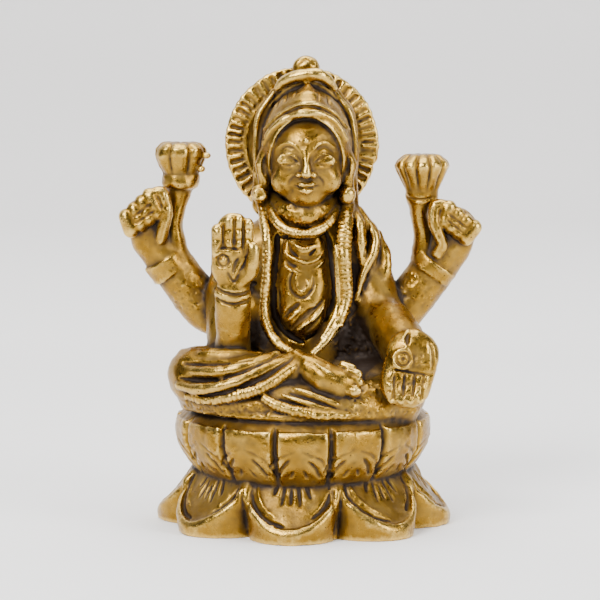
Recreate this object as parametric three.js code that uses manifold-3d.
// A small cast brass figure of Lakshmi, seated cross-legged on a two-tiered lotus, cast in one piece with it.
// Millimetres, +Z up, the figure faces -Y. The origin is the middle of the flat underside.

import * as THREE from 'three';
import { mergeVertices } from 'three/addons/utils/BufferGeometryUtils.js';
import Module from 'manifold-3d';

const wasm = await Module();
wasm.setup();

// Lotus plinth
const PLINTH_WIDTH = 50; // across the tips of the lower petals, side to side
const PLINTH_DEPTH = 46; // front to back
const SEAT_HEIGHT = 18; // ground to the top of the upper petals
const SEAT_RADIUS = 20.6; // to the lip of the upper petals
const SEAT_BELLY = 0.8; // how far the upper petals swell past their lip
const SEAT_DISH = 0.5; // depth of the seat below the petals' lip
const WAIST_RADIUS = 18.4; // where the two tiers meet
const WAIST_HEIGHT = 9.6;
const UPPER_PETALS = 14;
const UPPER_GROOVE = 1.1; // depth of the cut between two upper petals
const LOWER_PETALS = 8;
const LOWER_TURN = -6; // degrees that the lower petals are turned from facing front
const LOWER_NOTCH = 0.8; // radius between two lower petals, as a share of the radius at their tips
const TIP_THICKNESS = 3; // wall of a lower petal at its tip
const NOTCH_THICKNESS = 5; // wall between two lower petals
const RIM_WIDTH = 1.3; // raised edge round each lower petal
const RIM_GROOVE = 0.8; // depth of the line inside it

// Figure: its pose and carving are written at a height of 60 mm above the seat, and scale with this height.
const FIGURE_HEIGHT = 60;
const FIGURE_SCALE = FIGURE_HEIGHT / 60;
const SINK = 0.6; // how far the figure is rooted in the seat
const MIDLINE = 0.5; // x of the figure's midline
const HALO_RIBS = 46;
const FOLDS = 5; // ridges of cloth over the upper leg
const FINEST = 0.12; // points closer than this to a straight surface are dropped
const HAIR = 0.002; // closer than this, two points count as one
const BRASS = { color: 0xb08d3c, roughness: 0.38, metalness: 1 };

const DOWN_TO_SEAT = SEAT_HEIGHT - SEAT_DISH - SINK;
const FRONT = [0, -1, 0];
const TOP = [0, 0, 1];

const lerp = THREE.MathUtils.lerp;
const vector = (p) => new THREE.Vector3(...p);
const mixPoints = (a, b, t) => a.map((v, i) => lerp(v, b[i], t));

// A closed three.js geometry as a solid, without the collapsed triangles at its poles.
function solidOf(geometry) {
  const bare = new THREE.BufferGeometry();
  bare.setAttribute('position', geometry.getAttribute('position').clone());
  bare.setIndex(geometry.index);
  const merged = mergeVertices(bare, 1e-4);
  const kept = [];
  for (let i = 0; i < merged.index.count; i += 3) {
    const [a, b, c] = [0, 1, 2].map((k) => merged.index.getX(i + k));
    if (a !== b && b !== c && c !== a) kept.push(a, b, c);
  }
  return new wasm.Manifold(new wasm.Mesh({
    numProp: 3,
    vertProperties: new Float32Array(merged.getAttribute('position').array),
    triVerts: new Uint32Array(kept),
  }));
}

function geometryOf(solid) {
  const { vertProperties, triVerts } = solid.getMesh();
  const geometry = new THREE.BufferGeometry();
  geometry.setAttribute('position', new THREE.BufferAttribute(vertProperties, 3));
  geometry.setIndex(new THREE.BufferAttribute(triVerts, 1));
  geometry.computeVertexNormals();
  return geometry;
}

// Where two stretches of surface only touch at a point, the points are drawn apart by a hair.
function drawApart(geometry) {
  const position = geometry.getAttribute('position');
  const normal = geometry.getAttribute('normal');
  const seen = new Set();
  for (let i = 0; i < position.count; i++) {
    const point = new THREE.Vector3().fromBufferAttribute(position, i);
    const place = point.toArray().map((v) => Math.round(v / HAIR)).join();
    if (seen.has(place)) point.addScaledVector(new THREE.Vector3().fromBufferAttribute(normal, i), -5 * HAIR);
    seen.add(place);
    position.setXYZ(i, ...point.toArray());
  }
  return geometry;
}

const join = (solids) => solids.reduce((whole, piece) => whole.add(piece));

function moveVertices(geometry, move) {
  const position = geometry.getAttribute('position');
  for (let i = 0; i < position.count; i++) {
    const to = move(position.getX(i), position.getY(i), position.getZ(i));
    position.setXYZ(i, ...to);
  }
  return geometry;
}

// Value of a list of numbers, or of number pairs, at t from 0 to 1 along it.
function along(list, t) {
  const at = t * (list.length - 1);
  const i = Math.min(Math.floor(at), list.length - 2);
  return mixPoints([list[i]].flat(), [list[i + 1]].flat(), at - i);
}

// A tapered round-ended form along a smooth curve. Each radius is one number, or [across, towards facing].
function limb(points, radii, { sides = 8, steps = 6, caps = 2, facing = FRONT, ribs = 0, ribDepth = 0 } = {}) {
  const curve = new THREE.CatmullRomCurve3(points.map(vector), false, 'centripetal');
  const rings = ribs ? ribs * 2 : steps;
  const front = vector(facing);
  return solidOf(moveVertices(new THREE.CapsuleGeometry(1, 1, caps, sides, rings), (x, y, z) => {
    const t = THREE.MathUtils.clamp(y + 0.5, 0, 1);
    const beyond = y + 0.5 - t;
    const [across, deep = across] = along(radii, t);
    const swell = ribs ? 1 - ribDepth * (Math.round(t * rings) % 2) : 1;
    const tangent = curve.getTangent(t);
    const outward = front.clone().addScaledVector(tangent, -front.dot(tangent)).normalize();
    const side = tangent.clone().cross(outward);
    return curve.getPoint(t)
      .addScaledVector(side, x * across * swell)
      .addScaledVector(outward, z * deep * swell)
      .addScaledVector(tangent, beyond * (across + deep) / 2)
      .toArray();
  }));
}

function ellipsoid(center, [rx, ry, rz], [across, up] = [12, 8], turn = [0, 0, 0]) {
  const geometry = new THREE.SphereGeometry(1, across, up).rotateX(Math.PI / 2).scale(rx, ry, rz);
  geometry.rotateX(turn[0]).rotateY(turn[1]).rotateZ(turn[2]).translate(...center);
  return solidOf(geometry);
}

// A flat-ended band round a limb, from one point to another.
function band(from, to, radius, sides = 12) {
  const axis = vector(to).sub(vector(from));
  const geometry = new THREE.CylinderGeometry(radius, radius, axis.length(), sides);
  geometry.applyQuaternion(new THREE.Quaternion().setFromUnitVectors(new THREE.Vector3(0, 1, 0), axis.clone().normalize()));
  geometry.translate(...vector(from).addScaledVector(axis, 0.5).toArray());
  return solidOf(geometry);
}

// A solid turned about +Z whose rings are cut into petals. places are the angles of one petal's corners, from -1 to 1
// across it, and shape(ring, place, radius, height) moves each corner.
function petalled(profile, petals, places, shape) {
  const segments = petals * places.length;
  const geometry = new THREE.LatheGeometry(profile.map(([r, z]) => new THREE.Vector2(r, z)), segments);
  const position = geometry.getAttribute('position');
  for (let i = 0; i < position.count; i++) {
    const ring = i % profile.length;
    const column = Math.floor(i / profile.length) % segments;
    const place = places[column % places.length];
    const petal = Math.floor(column / places.length);
    const angle = (petal + place / 2) * 2 * Math.PI / petals;
    const [radius, height] = shape(ring, place, ...profile[ring]);
    position.setXYZ(i, radius * Math.sin(angle), -radius * Math.cos(angle), height);
  }
  return geometry;
}

function lowerTier() {
  const tip = PLINTH_WIDTH / 2;
  const foot = 0.5;
  const shares = [1, 1 - RIM_WIDTH / tip, 1 - 1.7 * RIM_WIDTH / tip, 0.84];
  const drops = [0, 0.2, -RIM_GROOVE, 0];
  const profile = [
    [0, 0], [tip - foot, 0], [tip, foot], ...shares.map((share) => [tip * share, TIP_THICKNESS]),
    [WAIST_RADIUS, WAIST_HEIGHT], [WAIST_RADIUS - 3, WAIST_HEIGHT], [0, WAIST_HEIGHT],
  ];
  const places = [-1, -0.82, -0.54, -0.2, 0.2, 0.54, 0.82];
  const firstShare = 3;
  const geometry = petalled(profile, LOWER_PETALS, places, (ring, place, radius, height) => {
    const reach = lerp(LOWER_NOTCH, 1, Math.pow(1 - Math.pow(Math.abs(place), 1.5), 0.9));
    const edge = tip * reach;
    const k = ring - firstShare;
    if (radius === 0) return [radius, height];
    if (ring < firstShare) return [radius * reach, height];
    if (k >= shares.length) return [Math.min(radius, edge - 0.2), height];
    const wall = lerp(TIP_THICKNESS, NOTCH_THICKNESS, Math.pow(Math.abs(place), 1.4));
    const inner = Math.min(WAIST_RADIUS, edge - 0.2);
    const inward = (1 - shares[k]) / (1 - WAIST_RADIUS / tip);
    const rise = (WAIST_HEIGHT - wall) * Math.min(inward, 0.9);
    return [lerp(edge, inner, Math.min(inward, 0.9)), wall + rise + drops[k]];
  });
  geometry.scale(1, PLINTH_DEPTH / PLINTH_WIDTH, 1).rotateZ(THREE.MathUtils.degToRad(LOWER_TURN));
  return solidOf(geometry);
}

function upperTier() {
  const rise = SEAT_HEIGHT - WAIST_HEIGHT;
  const swells = [0, 0.45, 0.78, 1];
  const shoulder = SEAT_RADIUS + SEAT_BELLY;
  const profile = [
    [0, WAIST_HEIGHT - 1.5], [WAIST_RADIUS - 1, WAIST_HEIGHT - 1.5],
    ...swells.map((s, k) => [lerp(WAIST_RADIUS, shoulder, s), WAIST_HEIGHT + rise * k / 4]),
    [SEAT_RADIUS, SEAT_HEIGHT], [SEAT_RADIUS - 2, SEAT_HEIGHT - SEAT_DISH], [0, SEAT_HEIGHT - SEAT_DISH],
  ];
  const outer = profile.length - 3;
  return solidOf(petalled(profile, UPPER_PETALS, [-1, -0.84, 0, 0.84], (ring, place, radius, height) => {
    const cut = ring > 1 && ring <= outer && place === -1 ? UPPER_GROOVE : 0;
    return [radius - cut, height];
  }));
}

function trunk() {
  return join([
    limb([[0.5, 3, 1], [0.5, 3, 9], [0.5, 2.5, 16], [0.5, 2.5, 23], [0.5, 3, 29], [0.5, 3.2, 32]],
      [[12, 9], [9.6, 7.6], [8.8, 7], [9.8, 7.3], [8.6, 6], [4, 4]], { sides: 12, steps: 7 }),
    limb([[-11.5, 3, 25], [-6.5, 3, 29], [0.5, 3, 30.5], [7.5, 3, 29.5], [12.2, 3, 26]],
      [[4, 4.4], [4.4, 4.8], [4.6, 5], [4.4, 4.8], [4, 4.4]], { sides: 8, steps: 6 }),
    ellipsoid([0.5, 4.5, 4.5], [14, 11, 7.5], [14, 6]),
    limb([[1.2, -3.8, 29], [1.2, -4.5, 22], [1.2, -5, 14]], [[3.8, 1.6], [4, 1.7], [3, 1.7]], { steps: 4 }),
    limb([[0.5, 1.5, 29], [0.6, 0.5, 37]], [4.3, 4.1], { sides: 10, steps: 1, facing: FRONT }),
  ]);
}

function jewellery() {
  const garland = { sides: 6, ribs: 12, ribDepth: 0.2, caps: 1 };
  return join([
    limb([[-4.6, 0.5, 35.2], [-2.6, -3.4, 34.2], [0.5, -4.6, 33.8], [3.6, -3.4, 34.2], [5.6, 0.5, 35.2]],
      [1.3, 1.3, 1.3, 1.3, 1.3], { sides: 6, steps: 8 }),
    limb([[-7.4, 0.5, 34], [-4.4, -5, 31.2], [0.4, -6.8, 30.2], [5.2, -5, 31.2], [8.2, 0.5, 34]],
      [1.5, 1.6, 1.7, 1.6, 1.5], { sides: 6, steps: 10 }),
    limb([[-7.2, -1, 34.5], [-6.3, -5, 29], [-5.9, -5.8, 22], [-5.6, -6.6, 16], [-3.2, -8, 12], [-0.2, -9, 10.6]],
      [1.1, 1.2, 1.2, 1.2, 1.2, 1.1], garland),
    limb([[7.8, -1, 35.5], [7.6, -5, 29.5], [7.9, -5.8, 22.5], [7.3, -6.6, 16.5], [4.2, -8, 12.3], [1, -9, 10.6]],
      [1.4, 1.7, 1.7, 1.6, 1.4, 1.1], garland),
    ellipsoid([0.6, -6, 27.6], [2.2, 0.9, 1.7], [8, 5]),
    ellipsoid([0.6, -6, 22], [1.7, 0.8, 2.4], [8, 5]),
  ]);
}

function head() {
  const crown = ellipsoid([MIDLINE, -0.8, 45.4], [7.7, 7.2, 9.4], [16, 10])
    .subtract(ellipsoid([MIDLINE, -8, 40.6], [6.9, 9, 8], [14, 10]));
  const brim = [];
  for (let i = 0; i <= 4; i++) {
    const angle = lerp(-0.42, 0.42, i / 4) * Math.PI;
    brim.push([MIDLINE + 7.1 * Math.sin(angle), -0.6 - 6.6 * Math.cos(angle), 40.9 + 7.8 * Math.cos(angle)]);
  }
  const pieces = [
    crown,
    limb(brim, [0.9, 1, 1, 1, 0.9], { sides: 6, steps: 10 }),
    ellipsoid([MIDLINE, -0.9, 42], [6.5, 7.2, 7.4], [14, 10]),
    ellipsoid([MIDLINE, -5, 37], [2.8, 2.6, 2.2], [10, 6]),
    ellipsoid([MIDLINE, 2.6, 37.5], [7.4, 3.8, 8], [10, 6]),
    ellipsoid([0.6, 2.4, 51], [7.6, 4.2, 6.2], [12, 7]),
    ellipsoid([0.6, 4.2, 57.4], [2.5, 2.2, 2.5], [8, 6]),
    limb([[MIDLINE, -7.4, 43.6], [MIDLINE, -8.4, 40.6]], [0.5, 0.9], { sides: 6, steps: 1, caps: 1 }),
    limb([[-1, -7.2, 38.1], [MIDLINE, -7.9, 37.9], [2, -7.2, 38.1]], [0.35, 0.6, 0.35], { sides: 5, steps: 2, caps: 1 }),
  ];
  for (const side of [1, -1]) {
    const x = (offset) => MIDLINE + side * offset;
    pieces.push(
      ellipsoid([x(2.5), -7.1, 42.6], [1.4, 0.5, 0.75], [8, 4]),
      limb([[x(0.9), -7.6, 44.1], [x(2.5), -7.2, 44.8], [x(4.4), -5.8, 44.2]], [0.3, 0.4, 0.25],
        { sides: 4, steps: 3, caps: 1 }),
      ellipsoid([x(6.7), -0.4, 41.6], [1.1, 1.7, 3], [7, 6]),
      band([x(7.1), 1, 36.6], [x(7.1), -2.2, 36.6], 1.6, 9),
      limb([[x(7), 3, 49], [x(8), 2, 42], [x(8), 2, 35], [x(8.4), 2, 30]], [2.2, 2.3, 2.3, 2.6], { sides: 7, steps: 4 }),
    );
  }
  return join(pieces);
}

// The halo: a disc behind the head with a band of radial ribs inside its edge.
function halo() {
  const center = [-0.2, 6, 45.7];
  const outer = 12.8;
  const inner = 9.6;
  const profile = [
    [0, -0.8], [inner - 0.9, -1.7], [inner, -1.2], [outer - 0.5, -1.2], [outer, -0.6], [outer - 0.4, 1.1], [0, 1.1],
  ];
  const ribRings = [2, 3];
  const geometry = petalled(profile, HALO_RIBS, [-0.5, 0.5], (ring, place, radius, height) => {
    const cut = ribRings.includes(ring) && place < 0 ? 0.55 : 0;
    return [radius, height + cut];
  });
  return solidOf(geometry.rotateX(-Math.PI / 2).translate(...center));
}

// A lotus held by its stem: a cup of petals on a collar. rings are [radius, height] from the bottom up.
function lotusBud(center, rings, lean) {
  const profile = [[0, rings[0][1]], ...rings, [0, rings.at(-1)[1] - 0.4]];
  const geometry = petalled(profile, 6, [-1, 0], (ring, place, radius, height) => {
    const isCup = ring > 2 && ring < profile.length - 1;
    return [radius * (isCup && place === -1 ? 0.86 : 1), height];
  });
  return solidOf(geometry.rotateY(lean).translate(...center));
}

// A closed hand round a stem: the knuckles run from the little finger to the first finger.
function fist(palm, little, first, thumb) {
  const fingers = [0, 1, 2, 3].map((i) => limb(
    little.map((point, k) => mixPoints(point, first[k], i / 3)), [1.35, 1.35], { sides: 6, steps: 1, caps: 1 }));
  return join([
    limb(palm, [[3.6, 3], [3.8, 3]], { sides: 8, steps: 2 }),
    ...fingers,
    limb(thumb, thumb.map(() => 1.15), { sides: 6, steps: 5 }),
  ]);
}

function rearArms() {
  const cuff = 4;
  return join([
    limb([[-8.5, 4, 26.5], [-13.6, 4, 18.4], [-17.4, 4, 19], [-23.5, 3.5, 26.8], [-25.5, 3, 29.6]],
      [3.8, 3.9, 3.9, 3.6, 3.3], { sides: 8, steps: 7 }),
    band([-22.8, 3.6, 25.8], [-20.9, 3.7, 23.4], cuff),
    fist([[-24.6, 2.8, 28.8], [-26.2, 2.6, 32.6]], [[-30, -0.2, 32.7], [-28.2, -0.4, 29.8]],
      [[-25.4, -0.2, 36.2], [-23.6, -0.4, 33.3]], [[-24.3, 0, 36.6], [-22.6, -0.2, 34.6], [-23.3, -0.4, 29.3], [-23.9, 0, 27.4]]),
    limb([[-22.6, 3.2, 28.5], [-21.7, 3, 32.6], [-20.7, 3, 37]], [[1.8, 2.2], [1.9, 2.2], [2.2, 2.2]], { sides: 8, steps: 3 }),
    lotusBud([-20.4, 3, 37], [[2.5, -0.6], [2.9, 0.2], [2.8, 1.6], [2.4, 2.2], [4.1, 4.6], [4.6, 6], [4.1, 8]], 0.02),
    limb([[9.5, 4, 27], [14.2, 4, 18.6], [17, 4, 18.2], [23.2, 3.5, 26.4], [25.2, 3, 29.2]],
      [3.8, 3.9, 3.9, 3.6, 3.3], { sides: 8, steps: 7 }),
    band([22.6, 3.6, 25.4], [20.6, 3.7, 22.8], cuff),
    fist([[24.2, 2.8, 28.2], [25.4, 2.6, 31.4]], [[29.7, -0.2, 31.2], [27.9, -0.4, 28.4]],
      [[23.4, -0.2, 35], [22.2, -0.4, 32.2]], [[22.9, 0, 34.8], [23.5, -0.2, 32.8], [22.8, -0.4, 30.5], [24, -0.4, 28], [23.3, 0, 26.4]]),
    limb([[21.4, 3.2, 27], [21, 3, 30.5], [20.3, 3, 35.2]], [[1.8, 2.2], [1.9, 2.2], [2.2, 2.2]], { sides: 8, steps: 3 }),
    lotusBud([20.2, 3, 35.2], [[2.4, -0.6], [2.8, 0.2], [2.7, 1.5], [2.4, 2], [4.2, 4.6], [4.7, 5.8], [3.4, 7.9]], 0.04),
  ]);
}

// The raised right hand, palm to the front, with its forearm standing on the thigh.
function raisedArm() {
  const fingers = [0, 1, 2, 3].map((i) => {
    const x = -14.2 + 1.8 * i;
    const top = 33.6 - 0.45 * Math.pow(i - 1.8, 2);
    return limb([[x, -12.6, 27], [x, -12.9, top - 0.8]], [[0.96, 1.1], [0.9, 1]], { sides: 6, steps: 1 });
  });
  return join([
    limb([[-10.2, 2.5, 26.5], [-12.4, 0, 20], [-12, -5, 13]], [4, 3.8, 3.5], { sides: 8, steps: 4 }),
    limb([[-11.7, -5.5, 10.5], [-11.6, -9, 15], [-11.4, -11.8, 21]], [3.4, 3.3, 3], { sides: 9, steps: 3 }),
    limb([[-11.4, -12.2, 23.3], [-11.3, -12.6, 26], [-11.3, -12.7, 28]], [[3.5, 1.6], [3.9, 1.7], [3.7, 1.4]], { sides: 9, steps: 2 }),
    limb([[-9.4, -12.6, 23], [-7.9, -13, 26], [-8, -13, 28.6]], [1.6, 1.25, 1], { sides: 6, steps: 3 }),
    band([-11.4, -11.9, 19.2], [-11.4, -12, 20.4], 3.35, 12),
    ...fingers,
  ]);
}

// The lowered left hand, palm to the front and fingers down, resting on the knee.
function loweredArm() {
  const creases = 4;
  const fingers = [];
  for (let i = 0; i < creases; i++) {
    const x = lerp(13.6, 20, i / (creases - 1));
    const low = 4 + 0.35 * Math.pow(i - 1.5, 2);
    fingers.push(limb([[x, -17, 9.5], [x - 0.3, -18, low]], [[0.85, 0.8], [0.85, 0.8]], { sides: 6, steps: 1 }));
  }
  return join([
    limb([[11.2, 3, 27.5], [13.2, 2, 22], [13.8, -1, 18]], [3.9, 3.8, 3.6], { sides: 8, steps: 4 }),
    limb([[13.8, 0, 17.8], [15, -6, 15.5], [17, -11.5, 12]], [[3.6, 3.8], [3.9, 4.2], [4.4, 4.6]], { sides: 9, steps: 3, facing: TOP }),
    limb([[17.6, -13, 13.6], [17.3, -14.6, 10], [16.7, -15.6, 5.6]], [[4.4, 2.6], [5, 2.8], [4.3, 2.6]], { sides: 12, steps: 3 }),
    ...fingers,
  ]);
}

// Crossed legs under a pleated cloth, the right foot laid over the left shin.
function legs() {
  const firstFold = [[-18.5, -9, 10.3], [-12, -13, 9.6], [-5, -13.4, 11], [0, -10.5, 12.4]];
  const lastFold = [[-17.6, -11.6, 2.2], [-10, -17.6, 2.6], [-2.5, -19.2, 5.2], [2.4, -17.4, 9.2]];
  const folds = [];
  for (let i = 0; i < FOLDS; i++) {
    const t = i / (FOLDS - 1);
    const curve = firstFold.map((point, k) => mixPoints(point, lastFold[k], t));
    const isHem = i === FOLDS - 1;
    folds.push(limb(curve, [0.8, 0.95, 0.95, 0.7],
      isHem ? { sides: 6, ribs: 12, ribDepth: 0.18, caps: 1 } : { sides: 5, steps: 8, caps: 1 }));
  }
  const underFolds = [0, 1, 2].map((i) => limb(
    [[-1.5 - i, -18.2 - 0.3 * i, 4.8 - 1.4 * i], [5, -18.6 - 0.4 * i, 3.4 - 1.3 * i], [14, -17 - 0.3 * i, 1.8 - 0.4 * i]],
    [0.7, 0.9, 0.7], { sides: 5, steps: 5, caps: 1 }));
  const toes = [0, 1, 2, 3].map((i) => limb(
    [[9, -16.4 + 0.9 * i, 8 + 0.55 * i], [11.2 - 0.3 * i, -16.2 + 0.9 * i, 8.1 + 0.6 * i]], [0.95 - 0.1 * i, 0.8 - 0.1 * i],
    { sides: 5, steps: 1, caps: 1, facing: TOP }));
  return join([
    limb([[-5, 2, 6], [-12, -2, 7], [-16.8, -6.2, 6.6]], [[6, 6], [5.8, 5.6], [5.4, 5.4]], { sides: 8, steps: 3, facing: TOP }),
    limb([[-16.4, -7.4, 5.8], [-8, -12.6, 6], [2, -14.6, 8]], [[5, 5.4], [4.8, 5], [3, 3]], { sides: 8, steps: 4, facing: TOP }),
    limb([[5, 2, 5.5], [12, -3, 6], [17, -7.6, 5.2]], [[6, 6], [5.8, 5.4], [5, 4.8]], { sides: 8, steps: 3, facing: TOP }),
    limb([[16.5, -9, 4], [8, -13.6, 3.2], [-4, -15.4, 2.8]], [[4.4, 4.2], [4, 3.4], [3.2, 3]], { sides: 8, steps: 4, facing: TOP }),
    limb([[1.5, -14.4, 9.6], [6, -16, 8], [9.5, -15.6, 8]], [[2.4, 2.4], [2.9, 2.5], [2.4, 1.9]], { sides: 8, steps: 3, facing: TOP }),
    limb([[-17.5, -7, 0.8], [-10, -16, 0.6], [0.5, -18.6, 0.6], [11, -16, 0.6], [18, -7, 0.8]], [1.6, 1.6, 1.6, 1.6, 1.6],
      { sides: 6, steps: 11 }),
    ellipsoid([0.5, -1.5, 0], [18, 17, 4.6], [16, 6]),
    ...folds,
    ...underFolds,
    ...toes,
  ]);
}

// The shawl's pleats over the left shoulder and its edge down the back.
function shawl() {
  return join([0, 1, 2].map((i) => limb(
    [[8.6 + 1.4 * i, 0.2, 33.6 - 1.6 * i], [12 + 0.7 * i, -2 + 0.6 * i, 28.6 - 1.8 * i], [10.6 + 1.2 * i, -4 + 1.2 * i, 22 - i], [9.4 + i, -5 + 1.4 * i, 16.5]],
    [0.8, 1.1, 0.9, 0.6], { sides: 5, steps: 6, caps: 1 })));
}

const figure = join([trunk(), jewellery(), head(), halo(), rearArms(), raisedArm(), loweredArm(), legs(), shawl()])
  .scale([FIGURE_SCALE, FIGURE_SCALE, FIGURE_SCALE])
  .translate([0, 0, DOWN_TO_SEAT]);

// Slivers where the forms cross are dropped, and bubbles closed in between them are filled, as molten brass would.
const rough = solidOf(geometryOf(join([lowerTier(), upperTier(), figure])));
const shells = rough.simplify(FINEST).decompose();
const casting = join(shells.filter((shell) => shell.volume() > 0));

const mesh = new THREE.Mesh(drawApart(geometryOf(casting)), new THREE.MeshStandardMaterial(BRASS));
mesh.name = 'lakshmi_on_lotus';

const group = new THREE.Group();
group.add(mesh);

export default group;
